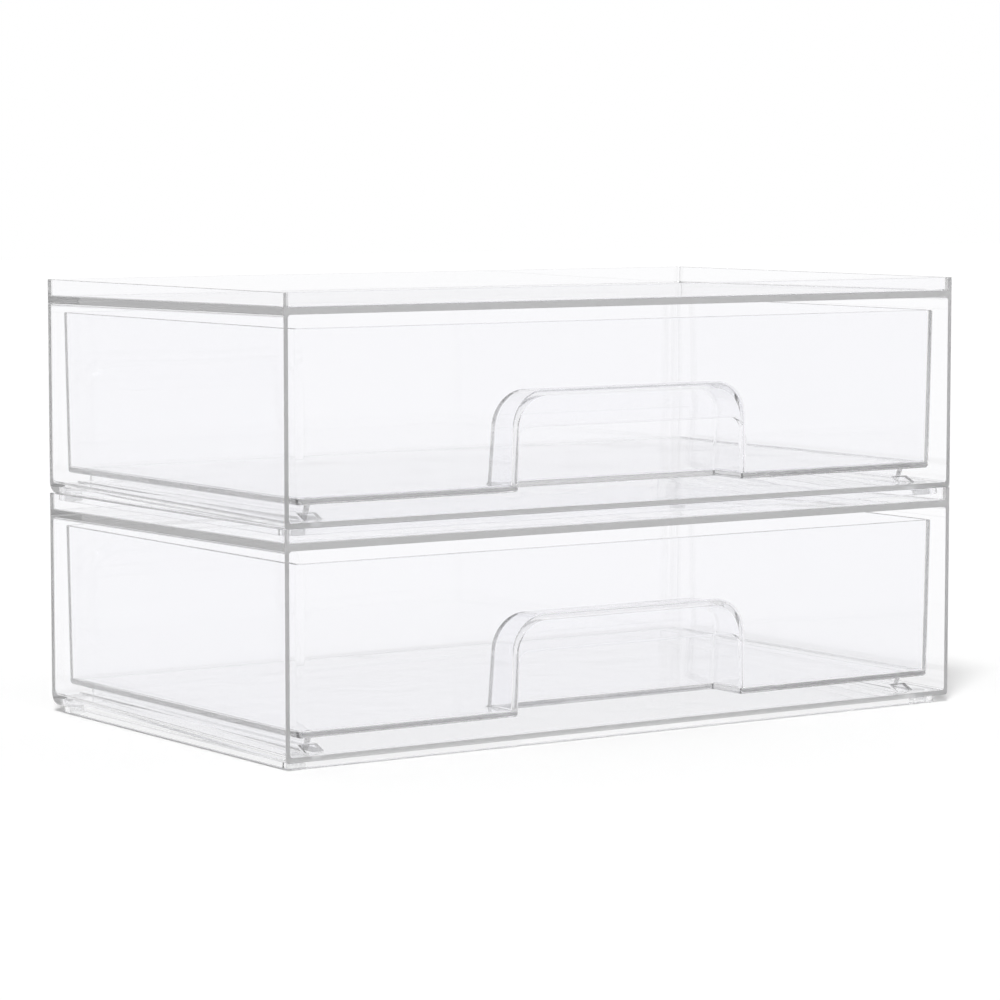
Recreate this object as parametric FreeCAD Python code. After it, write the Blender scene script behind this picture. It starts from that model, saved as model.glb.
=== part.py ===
"""Two stacked clear storage drawers: each is a moulded casing with a sliding drawer and four soft foot pads.

Millimetres, +Z up. The origin is the middle of the footprint, on the surface that the lower foot pads stand on.
The drawers open towards -Y. Each unit is built about its own seat plane, where its casing rests on the rim of
the unit below, and is then raised to its level in the stack.
"""

import FreeCAD, Part
import math
import os

# The casing's outside, its walls and the draft of the core that is drawn out through its open front
casing_width = 305.0
casing_depth = 177.0
casing_height = 82.5
wall = 1.7
rim_wall = 1.9
rim_height = 5.2
panel_thickness = 2.6
floor_thickness = 1.9
floor_back_thickness = 1.2
floor_draft_deg = 0.62
ceiling_draft_deg = 0.45
side_edge_radius = 1.2
base_back_radius = 4.5
bay_side_radius = 1.2
bay_back_radius = 2.7
bay_top_radius = 1.5
recess_corner_radius = 1.5
recess_base_radius = 0.6
rim_edge_radius = 0.3

# The stacking plinth under the casing and the pads in its corners
nest_side_clearance = 0.5
nest_gap = 2.4
plinth_wall = 2.0
plinth_corner_radius = 5.0
plinth_edge_radius = 0.4
pad_radius = 3.5
pad_clearance = 0.8
pad_proud = 0.15
pad_edge_radius = 0.4

# The rails on the casing's floor and the ribs of the drawer that run on them
runner_clearance = 0.1
rail_rise = 0.4
rail_width = 8.0
rail_wall = 1.2
rail_inset = 16.0
rail_setback = 7.0
rail_ramp = 5.0
rib_width = 2.5
rib_height = 3.4
rib_front_setback = 8.6
rib_back_setback = 6.0
rib_rake = 1.4
rib_root = 0.5

# The drawer's running clearances inside the casing, its walls and its draft
drawer_side_clearance = 4.9
drawer_top_clearance = 3.6
drawer_back_clearance = 0.5
drawer_recess = 2.4
drawer_wall = 1.8
drawer_floor = 2.0
drawer_draft_deg = 0.7
drawer_corner_radius = 2.0
drawer_base_radius = 1.3
drawer_inner_radius = 1.3
drawer_inner_base_radius = 0.9
drawer_edge_radius = 0.4

# The finger pocket in the drawer's front: an arched hollow behind a lip, open below, that narrows upwards
pocket_width = 103.0
pocket_height = 34.9
pocket_depth = 18.4
pocket_side_draft_deg = 1.4
pocket_back_draft_deg = 4.5
pocket_arch_radius = 12.0
pocket_back_radius = 0.8
hood_back_radius = 1.4
hood_root_radius = 1.0
lip_height = 11.3
lip_corner_radius = 4.5
lip_edge_radius = 0.7

# The stack
unit_names = ["lower", "upper"]

# How far cutting shapes reach past the faces that they open
reach = 5.0

# Places worked out from the sizes above, in the unit's own frame with its seat plane at zero
front = -casing_depth / 2
back = casing_depth / 2
bay_back = back - wall
bay_depth = bay_back - front
floor_slope = math.tan(math.radians(floor_draft_deg))
ceiling_slope = math.tan(math.radians(ceiling_draft_deg))
floor_rise = bay_depth * floor_slope
ceiling_fall = bay_depth * ceiling_slope
floor_back_top = floor_thickness + floor_rise
underside_slope = (floor_back_top - floor_back_thickness) / bay_depth
panel_top = casing_height - rim_height
ceiling = panel_top - panel_thickness
plinth_inset = rim_wall + nest_side_clearance
plinth_height = rim_height - pad_proud - nest_gap
stand_height = plinth_height + pad_proud
rail_top = floor_back_top + rail_rise
rib_bottom = rail_top + runner_clearance
drawer_bottom = rib_bottom + rib_height
drawer_top = ceiling - ceiling_fall - drawer_top_clearance
drawer_height = drawer_top - drawer_bottom
drawer_half_width = casing_width / 2 - wall - drawer_side_clearance
drawer_front = front + drawer_recess
drawer_back = bay_back - drawer_back_clearance
drawer_lean = math.tan(math.radians(drawer_draft_deg))
pocket_side_lean = math.tan(math.radians(pocket_side_draft_deg))
pocket_back_lean = math.tan(math.radians(pocket_back_draft_deg))
runner_centre = casing_width / 2 - rail_inset
pad_centre_inset = plinth_inset + plinth_wall + pad_clearance + pad_radius


def prism_across(points, half_width):
    """A solid of constant section across the unit's width, from an outline of (y, z) points."""
    corners = [FreeCAD.Vector(-half_width, y, z) for y, z in points]
    outline = Part.makePolygon(corners + corners[:1])
    return Part.Face(outline).extrude(FreeCAD.Vector(2 * half_width, 0, 0))


def rounded_rectangle(x_half, y_low, y_high, z, radius):
    """A level closed wire with rounded corners, centred across the width."""
    wide = Part.makePlane(2 * x_half, y_high - y_low, FreeCAD.Vector(-x_half, y_low, z))
    tall = wide.extrude(FreeCAD.Vector(0, 0, 1))
    uprights = [edge for edge in tall.Edges if is_along(edge, "z")]
    rounded = tall.makeFillet(radius, uprights)
    base = min(rounded.Faces, key=lambda face: face.CenterOfMass.z)
    return base.OuterWire


def is_along(edge, axis):
    """True where an edge is straight and runs along one axis."""
    box = edge.BoundBox
    spans = {"x": box.XLength, "y": box.YLength, "z": box.ZLength}
    along = spans.pop(axis)
    return along > 1e-3 and max(spans.values()) < 1e-6


def edges_at_height(shape, z):
    """The edges of a shape that lie level at one height."""
    return [edge for edge in shape.Edges if abs(edge.BoundBox.ZMin - z) < 1e-4 and edge.BoundBox.ZLength < 1e-4]


def level_prism(x_half, y_low, y_high, z_low, z_high, radius):
    """An upright block with rounded corners."""
    wire = rounded_rectangle(x_half, y_low, y_high, z_low, radius)
    return Part.Face(wire).extrude(FreeCAD.Vector(0, 0, z_high - z_low))


def floor_top(y):
    """The height of the bay's floor, which rises towards the back."""
    return floor_thickness + (y - front) * floor_slope


def floor_underside(y):
    """The height of the floor's underside inside the plinth, which rises a little faster than its top."""
    return (y - front) * underside_slope


def edges_on_sides(shape, half_width):
    """The edges that bound the two side faces of a shape."""
    return [
        edge
        for edge in shape.Edges
        if edge.BoundBox.XLength < 1e-6 and abs(abs(edge.BoundBox.XMin) - half_width) < 1e-6
    ]


def casing_outside():
    """The outer block of the casing, well rounded from the base to the back and eased round both sides."""
    half = casing_width / 2
    block = Part.makeBox(casing_width, casing_depth, casing_height, FreeCAD.Vector(-half, front, 0))
    heel = [e for e in edges_at_height(block, 0) if e.BoundBox.YMin > back - 1e-6]
    block = block.makeFillet(base_back_radius, heel)
    eased = [
        e
        for e in edges_on_sides(block, half)
        if e.BoundBox.YMax > front + 1e-4 and e.BoundBox.ZMin < casing_height - 1e-4
    ]
    return block.makeFillet(side_edge_radius, eased)


def casing_bay():
    """The drawer's bay: it narrows in height towards the back, as the core's draft leaves it."""
    half = casing_width / 2 - wall
    start = front - reach
    bay = prism_across(
        [
            (start, floor_top(start)),
            (bay_back, floor_back_top),
            (bay_back, ceiling - ceiling_fall),
            (start, ceiling + reach * ceiling_slope),
        ],
        half,
    )
    heel = [e for e in edges_at_height(bay, floor_back_top) if is_along(e, "x")]
    bay = bay.makeFillet(bay_back_radius, heel)
    head = [e for e in edges_at_height(bay, ceiling - ceiling_fall) if is_along(e, "x")]
    bay = bay.makeFillet(bay_top_radius, head)
    sides = [e for e in edges_on_sides(bay, half) if e.BoundBox.YMax > front]
    return bay.makeFillet(bay_side_radius, sides)


def rim_recess():
    """The tray on top that takes the plinth of the next unit; its floor is parallel to the bay's ceiling."""
    recess_front = front + rim_wall
    recess_back = back - rim_wall
    recess = prism_across(
        [
            (recess_front, panel_top - (recess_front - front) * ceiling_slope),
            (recess_back, panel_top - (recess_back - front) * ceiling_slope),
            (recess_back, casing_height + reach),
            (recess_front, casing_height + reach),
        ],
        casing_width / 2 - rim_wall,
    )
    recess = recess.makeFillet(recess_corner_radius, [e for e in recess.Edges if is_along(e, "z")])
    lower = [e for e in recess.Edges if e.BoundBox.ZMax < panel_top + 1e-4]
    return recess.makeFillet(recess_base_radius, lower)


def plinth_outline(inset, z_low, z_high):
    """An upright block on the plinth's outline, drawn in by an inset all round."""
    side = plinth_inset + inset
    return level_prism(
        casing_width / 2 - side, front + side, back - side, z_low, z_high, plinth_corner_radius - inset
    )


def plinth():
    """The ring under the casing that drops inside the rim of the unit below; it roots in the floor."""
    root = floor_thickness / 2
    block = plinth_outline(0, -plinth_height, root)
    hollow = plinth_outline(plinth_wall, -plinth_height, root)
    ring = block.cut(hollow)
    return ring.makeFillet(plinth_edge_radius, edges_at_height(ring, -plinth_height))


def under_hollow():
    """The space inside the plinth, up to the sloping underside of the floor."""
    below = prism_across(
        [
            (front, -reach),
            (back, -reach),
            (back, floor_underside(back)),
            (front, floor_underside(front)),
        ],
        casing_width / 2,
    )
    return plinth_outline(plinth_wall, -reach, floor_back_top).common(below)


def pad_centres():
    """The foot pads stand at the centres of the plinth's rounded corners."""
    x = casing_width / 2 - pad_centre_inset
    y = casing_depth / 2 - pad_centre_inset
    return {"front_left": (-x, -y), "front_right": (x, -y), "back_left": (-x, y), "back_right": (x, y)}


def pad_boss(x, y):
    """A flat seat for a foot pad under the sloping floor."""
    return Part.makeCylinder(pad_radius, floor_back_top, FreeCAD.Vector(x, y, 0))


def rail(x_centre):
    """A level rail on the sloping floor, with a ramp at its front end."""
    start = front + rail_setback
    profile = prism_across(
        [
            (start, (floor_top(start) + floor_underside(start)) / 2),
            (start, floor_top(start)),
            (start + rail_ramp, rail_top),
            (bay_back, rail_top),
            (bay_back, (floor_top(bay_back) + floor_underside(bay_back)) / 2),
        ],
        rail_width / 2,
    )
    return profile.translated(FreeCAD.Vector(x_centre, 0, 0))


def rail_groove(x_centre):
    """The hollow under a rail, which keeps its top, its sides and its ramp as thin as the floor."""
    start = front + rail_setback
    ramp_angle = math.atan2(rail_top - floor_top(start), rail_ramp)
    shift = rail_wall * math.tan(ramp_angle / 2)
    profile = prism_across(
        [
            (start + shift, -reach),
            (start + shift, floor_top(start) - rail_wall),
            (start + shift + rail_ramp, rail_top - rail_wall),
            (back, rail_top - rail_wall),
            (back, -reach),
        ],
        rail_width / 2 - rail_wall,
    )
    inside = plinth_outline(plinth_wall, -reach, rail_top)
    return profile.translated(FreeCAD.Vector(x_centre, 0, 0)).common(inside)


def casing():
    """One clear moulding: bay, rim, plinth, pad seats and hollow rails."""
    body = casing_outside().cut(rim_recess())
    body = body.makeFillet(rim_edge_radius, edges_at_height(body, casing_height))
    body = body.cut(under_hollow())
    body = body.fuse([plinth()] + [pad_boss(x, y) for x, y in pad_centres().values()])
    body = body.cut(casing_bay())
    body = body.fuse([rail(-runner_centre), rail(runner_centre)])
    body = body.cut([rail_groove(-runner_centre), rail_groove(runner_centre)])
    return body.removeSplitter()


def tapered_block(inset, z_low, z_high, radius):
    """The drawer's drafted outline between two heights, drawn in by an inset all round."""

    def section(z):
        side = inset + (drawer_top - z) * drawer_lean
        return rounded_rectangle(drawer_half_width - side, drawer_front + side, drawer_back - side, z, radius)

    return Part.makeLoft([section(z_low), section(z_high)], True, True)


def pocket_block(skin, height, shoulder_radius):
    """The pocket's leaning outline with a rounded head, grown by a skin and running back from ahead of the front."""
    start = drawer_front - reach
    z_low = drawer_bottom - reach
    z_high = drawer_bottom + height

    def section(z):
        lift = z - drawer_bottom
        half = pocket_width / 2 + skin - lift * pocket_side_lean
        end = drawer_front + pocket_depth + skin - lift * pocket_back_lean
        corners = [(-half, start), (half, start), (half, end), (-half, end), (-half, start)]
        return Part.makePolygon([FreeCAD.Vector(x, y, z) for x, y in corners])

    block = Part.makeLoft([section(z_low), section(z_high)], True, True)
    shoulders = [e for e in edges_at_height(block, z_high) if is_along(e, "y")]
    return block.makeFillet(shoulder_radius, shoulders)


def rounded_back(block, radius):
    """Eases the edges round the back face of the pocket, apart from the one below the drawer."""
    rear = max(block.Faces, key=lambda face: face.CenterOfMass.y)
    outline = [e for e in rear.Edges if e.BoundBox.ZMax > drawer_bottom]
    return block.makeFillet(radius, outline)


def front_inner_face(z):
    """Where the inner face of the drawer's leaning front wall stands at a height."""
    return drawer_front + drawer_wall + (drawer_top - z) * drawer_lean


def behind_front_wall():
    """The space behind the inner face of the drawer's leaning front wall."""
    low = drawer_bottom - reach
    return prism_across(
        [
            (front_inner_face(low), low),
            (drawer_back, low),
            (drawer_back, drawer_top),
            (front_inner_face(drawer_top), drawer_top),
        ],
        drawer_half_width,
    )


def through_front_wall():
    """The space from ahead of the drawer to a little way behind its front wall."""
    start = drawer_front - reach
    end = drawer_front + drawer_height * drawer_lean + 2 * drawer_wall
    low = drawer_bottom - reach
    return prism_across([(start, low), (end, low), (end, drawer_top), (start, drawer_top)], drawer_half_width)


def with_hood_root(body):
    """Fills the corner where the pocket's hood stands on the inner face of the front wall."""
    hood_half = pocket_width / 2 + drawer_wall
    floor = drawer_bottom + drawer_floor

    def at_root(point):
        on_face = abs(point.y - front_inner_face(point.z)) < 1e-3
        return on_face and abs(point.x) < hood_half and point.z > floor

    root = [edge for edge in body.Edges if all(at_root(point) for point in edge.discretize(7))]
    return body.makeFillet(hood_root_radius, root)


def with_rounded_lip(body):
    """Rounds the lower front edge of the lip and, with it, the sides of the mouth below."""
    level = [e for e in edges_at_height(body, drawer_bottom + pocket_height - lip_height) if is_along(e, "x")]
    return body.makeFillet(lip_edge_radius, [min(level, key=lambda edge: edge.BoundBox.YMin)])


def rib(x_centre):
    """A runner under the drawer's floor, raked at its front end."""
    start = drawer_front + rib_front_setback
    end = drawer_back - rib_back_setback
    profile = prism_across(
        [
            (start, drawer_bottom + rib_root),
            (start, drawer_bottom),
            (start + rib_rake, rib_bottom),
            (end, rib_bottom),
            (end, drawer_bottom + rib_root),
        ],
        rib_width / 2,
    )
    return profile.translated(FreeCAD.Vector(x_centre, 0, 0))


def drawer():
    """One clear moulding: an open box with a finger pocket in its front and two runner ribs below."""
    outside = tapered_block(0, drawer_bottom, drawer_top, drawer_corner_radius)
    outside = outside.makeFillet(drawer_base_radius, edges_at_height(outside, drawer_bottom))
    inside = tapered_block(drawer_wall, drawer_bottom + drawer_floor, drawer_top + reach, drawer_inner_radius)
    inside = inside.makeFillet(drawer_inner_base_radius, edges_at_height(inside, drawer_bottom + drawer_floor))
    shell = outside.cut(inside)
    shell = shell.makeFillet(drawer_edge_radius, edges_at_height(shell, drawer_top))

    hood = pocket_block(drawer_wall, pocket_height + drawer_wall, pocket_arch_radius + drawer_wall)
    hood = rounded_back(hood, hood_back_radius)
    hollow = rounded_back(pocket_block(0, pocket_height, pocket_arch_radius), pocket_back_radius)
    mouth = pocket_block(0, pocket_height - lip_height, lip_corner_radius)

    body = with_hood_root(shell.fuse(hood.common(outside)).removeSplitter())
    body = body.cut(hollow.common(behind_front_wall())).cut(mouth.common(through_front_wall()))
    body = with_rounded_lip(body).fuse([rib(-runner_centre), rib(runner_centre)])
    return body.removeSplitter()


def foot_pad(x, y):
    """A soft round pad under one corner of the casing."""
    pad = Part.makeCylinder(pad_radius, stand_height, FreeCAD.Vector(x, y, -stand_height))
    return pad.makeFillet(pad_edge_radius, edges_at_height(pad, -stand_height))


os.makedirs("parts", exist_ok=True)
unit_casing = casing()
unit_drawer = drawer()
for level, unit in enumerate(unit_names):
    lift = FreeCAD.Vector(0, 0, stand_height + level * casing_height)
    pieces = {"casing": unit_casing, "drawer": unit_drawer}
    for corner, (x, y) in pad_centres().items():
        pieces["foot_" + corner] = foot_pad(x, y)
    for piece, shape in pieces.items():
        shape.translated(lift).exportStep("parts/" + unit + "_" + piece + ".step")
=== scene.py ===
import math

import bmesh
import bpy
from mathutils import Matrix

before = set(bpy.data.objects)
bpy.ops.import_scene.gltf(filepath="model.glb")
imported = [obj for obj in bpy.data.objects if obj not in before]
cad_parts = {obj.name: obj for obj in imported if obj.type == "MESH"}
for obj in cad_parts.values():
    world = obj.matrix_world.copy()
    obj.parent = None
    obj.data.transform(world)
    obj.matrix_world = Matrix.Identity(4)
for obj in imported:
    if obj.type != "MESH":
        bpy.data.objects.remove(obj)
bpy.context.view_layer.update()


# The two casings: each is one clear moulding with a bay for its drawer, a rim on top and a plinth below.
# General purpose polystyrene, injected into a polished mould and drawn off its core through the open front.
# The upper casing stands loose on the rim of the lower one.
MM = 0.001
stand_height = 2.8 * MM
unit_height = 82.5 * MM
casing_half_width = 152.5 * MM
casing_front = -88.5 * MM
rim_height = 5.2 * MM
rim_wall = 1.9 * MM
parting_depth = 0.1 * MM


def linear(hex_colour):
    """An sRGB hex colour as linear red, green, blue and alpha."""
    parts = [int(hex_colour[i:i + 2], 16) / 255 for i in (1, 3, 5)]
    return [p / 12.92 if p <= 0.04045 else ((p + 0.055) / 1.055) ** 2.4 for p in parts] + [1.0]


def add(tree, kind, settings=None, inputs=None, links=None):
    """One node: its properties, the values of its inputs, and the sockets that feed them."""
    node = tree.nodes.new(kind)
    for name, value in (settings or {}).items():
        setattr(node, name, value)
    for name, value in (inputs or {}).items():
        node.inputs[name].default_value = value
    for name, socket in (links or {}).items():
        tree.links.new(socket, node.inputs[name])
    return node


def clear_polystyrene(name, front_y, window_half_width, window_bottom, window_top):
    """Clear polystyrene from a polished mould, with a finely roughened finish and a painted grey shade on its
    front edges.

    It is colourless on the flat, and grey where the eye looks into an edge and the light has come a long
    way through it. Faint flow marks bend what is seen through the walls. What lies in front of front_y is
    finely roughened and painted an even grey that stands in for the shade seen in its edges, apart from a
    clear window whose heights are measured from a unit's seat.
    """
    flow_mark_size = 28 * MM
    flow_mark_depth = 1.0 * MM
    polish_size = 6 * MM
    noise_low, noise_high = 0.3, 0.7
    best_polish, worst_polish = 0.004, 0.03
    matt_roughness = 0.3
    material = bpy.data.materials.new(name)
    material.use_nodes = True
    tree = material.node_tree
    tree.nodes.clear()
    place = add(tree, "ShaderNodeTexCoord")
    along = add(tree, "ShaderNodeSeparateXYZ", links={"Vector": place.outputs["Object"]})
    in_front = add(
        tree, "ShaderNodeMath", {"operation": "LESS_THAN"},
        inputs={1: front_y},
        links={0: along.outputs["Y"]},
    )
    in_width = add(
        tree, "ShaderNodeMath", {"operation": "COMPARE"},
        inputs={1: 0.0, 2: window_half_width},
        links={0: along.outputs["X"]},
    )
    above_seat = add(
        tree, "ShaderNodeMath", {"operation": "SUBTRACT"},
        inputs={1: stand_height},
        links={0: along.outputs["Z"]},
    )
    unit_z = add(
        tree, "ShaderNodeMath", {"operation": "FLOORED_MODULO"},
        inputs={1: unit_height},
        links={0: above_seat.outputs["Value"]},
    )
    in_height = add(
        tree, "ShaderNodeMath", {"operation": "COMPARE"},
        inputs={1: (window_bottom + window_top) / 2, 2: (window_top - window_bottom) / 2},
        links={0: unit_z.outputs["Value"]},
    )
    window = add(
        tree, "ShaderNodeMath", {"operation": "MULTIPLY"},
        links={0: in_width.outputs["Value"], 1: in_height.outputs["Value"]},
    )
    # Painted shade: this mask roughens the front edges and also paints them grey.
    matt_and_painted_shade = add(
        tree, "ShaderNodeMath", {"operation": "SUBTRACT", "use_clamp": True},
        links={0: in_front.outputs["Value"], 1: window.outputs["Value"]},
    )
    # Painted shade: the ramp paints the front edges grey, standing in for the shade seen in them.
    colour_with_painted_edge_shade = add(tree, "ShaderNodeValToRGB", links={"Fac": matt_and_painted_shade.outputs["Value"]})
    colour_with_painted_edge_shade.color_ramp.elements[0].color = linear("#FDFDFE")
    colour_with_painted_edge_shade.color_ramp.elements[1].color = linear("#CECECF")
    polish = add(
        tree, "ShaderNodeTexNoise",
        inputs={"Scale": 1 / polish_size, "Detail": 3.0, "Roughness": 0.6},
        links={"Vector": place.outputs["Object"]},
    )
    polish_range = add(
        tree, "ShaderNodeMapRange",
        inputs={"From Min": noise_low, "From Max": noise_high, "To Min": best_polish, "To Max": worst_polish},
        links={"Value": polish.outputs["Fac"]},
    )
    finish = add(
        tree, "ShaderNodeMix",
        inputs={"B": matt_roughness},
        links={"Factor": matt_and_painted_shade.outputs["Value"], "A": polish_range.outputs["Result"]},
    )
    flow = add(
        tree, "ShaderNodeTexNoise",
        inputs={"Scale": 1 / flow_mark_size, "Detail": 1.0, "Distortion": 0.4},
        links={"Vector": place.outputs["Object"]},
    )
    flow_bump = add(
        tree, "ShaderNodeBump",
        inputs={"Strength": 0.05, "Distance": flow_mark_depth},
        links={"Height": flow.outputs["Fac"]},
    )
    surface = add(
        tree, "ShaderNodeBsdfPrincipled",
        inputs={"IOR": 1.59, "Transmission Weight": 1.0},
        links={
            "Base Color": colour_with_painted_edge_shade.outputs["Color"],
            "Roughness": finish.outputs["Result"],
            "Normal": flow_bump.outputs["Normal"],
        },
    )
    depth_grey = add(
        tree, "ShaderNodeVolumeAbsorption",
        inputs={"Color": linear("#EAEAEA"), "Density": 12.5},
    )
    add(
        tree, "ShaderNodeOutputMaterial",
        links={"Surface": surface.outputs["BSDF"], "Volume": depth_grey.outputs["Volume"]},
    )
    return material


# The edges of the open front are finely roughened where the mould parts and carry a painted grey shade; the
# face of the rim above them stays clear.
casing_plastic = clear_polystyrene(
    "clear_polystyrene",
    front_y=casing_front + parting_depth,
    window_half_width=casing_half_width - rim_wall,
    window_bottom=unit_height - rim_height,
    window_top=unit_height,
)
for level in ("lower", "upper"):
    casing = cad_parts[level + "_casing"]
    casing.data.materials.clear()
    casing.data.materials.append(casing_plastic)


# The two drawers: open boxes with an arched finger pocket behind the lip of the front and two ribs below.
# The same clear polystyrene, each moulded in one shot with draft on its walls.
# A drawer stands on the casing's rails by its ribs and slides out by hand.
drawer_half_width = 147.0 * MM
drawer_floor_top = 9.7 * MM
drawer_top = 69.8 * MM
drawer_front_foot = -85.2 * MM

# The front is clear down to a finely roughened line along its lower edge, where the floor ends, and that line
# carries a painted grey shade.
drawer_plastic = clear_polystyrene(
    "clear_polystyrene_drawer",
    front_y=drawer_front_foot,
    window_half_width=drawer_half_width,
    window_bottom=drawer_floor_top,
    window_top=drawer_top,
)
for level in ("lower", "upper"):
    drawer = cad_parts[level + "_drawer"]
    drawer.data.materials.clear()
    drawer.data.materials.append(drawer_plastic)


# The eight foot pads: small round dots that keep a unit from sliding.
# Soft clear silicone, die cut from sheet, each stuck under the floor in a corner of the plinth.
skin_size = 0.4 * MM
skin_depth = 0.1 * MM
skin_noise_low, skin_noise_high = 0.3, 0.7
smooth_skin, satin_skin = 0.12, 0.25

# Clear silicone: see-through, a little milky, with a fine satin skin.
silicone = bpy.data.materials.new("clear_silicone")
silicone.use_nodes = True
tree = silicone.node_tree
tree.nodes.clear()
place = add(tree, "ShaderNodeTexCoord")
skin = add(
    tree, "ShaderNodeTexNoise",
    inputs={"Scale": 1 / skin_size, "Detail": 2.0},
    links={"Vector": place.outputs["Object"]},
)
skin_range = add(
    tree, "ShaderNodeMapRange",
    inputs={
        "From Min": skin_noise_low, "From Max": skin_noise_high,
        "To Min": smooth_skin, "To Max": satin_skin,
    },
    links={"Value": skin.outputs["Fac"]},
)
skin_bump = add(
    tree, "ShaderNodeBump",
    inputs={"Strength": 0.15, "Distance": skin_depth},
    links={"Height": skin.outputs["Fac"]},
)
surface = add(
    tree, "ShaderNodeBsdfPrincipled",
    inputs={"Base Color": linear("#F6F7F7"), "IOR": 1.41, "Alpha": 0.3},
    links={"Roughness": skin_range.outputs["Result"], "Normal": skin_bump.outputs["Normal"]},
)
add(tree, "ShaderNodeOutputMaterial", links={"Surface": surface.outputs["BSDF"]})

for level in ("lower", "upper"):
    for corner in ("front_left", "front_right", "back_left", "back_right"):
        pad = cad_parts[level + "_foot_" + corner]
        pad.data.materials.clear()
        pad.data.materials.append(silicone)


# The stage: a white paper floor that runs out of sight and a white room.
# One broad soft lamp above and to the left of the front lays a faint shadow to the right.
floor_half = 6.0
glow_to_eye = 0.1
glow_to_light = 0.85
floor_mesh = bpy.data.meshes.new("floor")
shape = bmesh.new()
bmesh.ops.create_grid(shape, x_segments=1, y_segments=1, size=floor_half)
shape.to_mesh(floor_mesh)
shape.free()
floor = bpy.data.objects.new("floor", floor_mesh)
bpy.context.scene.collection.objects.link(floor)

# White paper: mostly lit and shaded to the eye, and an even white to all that is seen through the plastic.
paper = bpy.data.materials.new("white_paper")
paper.use_nodes = True
tree = paper.node_tree
tree.nodes.clear()
paper_surface = add(tree, "ShaderNodeBsdfDiffuse", inputs={"Color": linear("#FFFFFF")})
paper_glow = add(tree, "ShaderNodeEmission", inputs={"Color": linear("#FFFFFF"), "Strength": 1.0})
paper_path = add(tree, "ShaderNodeLightPath")
paper_share = add(
    tree, "ShaderNodeMapRange",
    inputs={"To Min": glow_to_light, "To Max": glow_to_eye},
    links={"Value": paper_path.outputs["Is Camera Ray"]},
)
paper_mix = add(
    tree, "ShaderNodeMixShader",
    links={
        "Fac": paper_share.outputs["Result"],
        1: paper_surface.outputs["BSDF"],
        2: paper_glow.outputs["Emission"],
    },
)
add(tree, "ShaderNodeOutputMaterial", links={"Surface": paper_mix.outputs["Shader"]})
floor_mesh.materials.append(paper)

# The room is white to the eye, a little less so in a reflection or through the plastic, and gives the floor
# about half of its light. The lamp gives the rest.
room_seen = 1.0
room_reflected = 0.96
room_as_light = 0.45
world = bpy.data.worlds.new("studio")
world.use_nodes = True
tree = world.node_tree
tree.nodes.clear()
path = add(tree, "ShaderNodeLightPath")
brighter = add(
    tree, "ShaderNodeMath", {"operation": "MULTIPLY_ADD"},
    inputs={1: room_seen - room_reflected, 2: room_reflected},
    links={0: path.outputs["Is Camera Ray"]},
)
strength = add(
    tree, "ShaderNodeMath", {"operation": "MULTIPLY_ADD"},
    inputs={1: room_as_light - room_reflected},
    links={0: path.outputs["Is Diffuse Ray"], 2: brighter.outputs["Value"]},
)
sky = add(
    tree, "ShaderNodeBackground",
    inputs={"Color": linear("#FFFFFF")},
    links={"Strength": strength.outputs["Value"]},
)
add(tree, "ShaderNodeOutputWorld", links={"Surface": sky.outputs["Background"]})
bpy.context.scene.world = world

lamp_from_overhead = math.radians(31)
lamp_turn = math.radians(-42)
lamp_spread = math.radians(14)
lamp = bpy.data.objects.new("lamp", bpy.data.lights.new("lamp", "SUN"))
bpy.context.scene.collection.objects.link(lamp)
lamp.data.energy = 2.15
lamp.data.angle = lamp_spread
lamp.rotation_euler = (lamp_from_overhead, 0, lamp_turn)

camera_tilt = math.radians(84.7953)
camera_turn = math.radians(-34.2846)
camera = bpy.data.objects.new("camera", bpy.data.cameras.new("camera"))
bpy.context.scene.collection.objects.link(camera)
camera.data.lens = 134.22
camera.location = (-0.81807, -1.19781, 0.21335)
camera.rotation_euler = (camera_tilt, 0, camera_turn)
bpy.context.scene.camera = camera

# Light that enters an edge is turned back many times inside the thin walls before it comes out.
turns_inside_walls = 256
cycles = bpy.context.scene.cycles
cycles.max_bounces = turns_inside_walls
cycles.transmission_bounces = turns_inside_walls
cycles.glossy_bounces = turns_inside_walls
cycles.diffuse_bounces = 4

bpy.context.scene.view_settings.view_transform = "Standard"
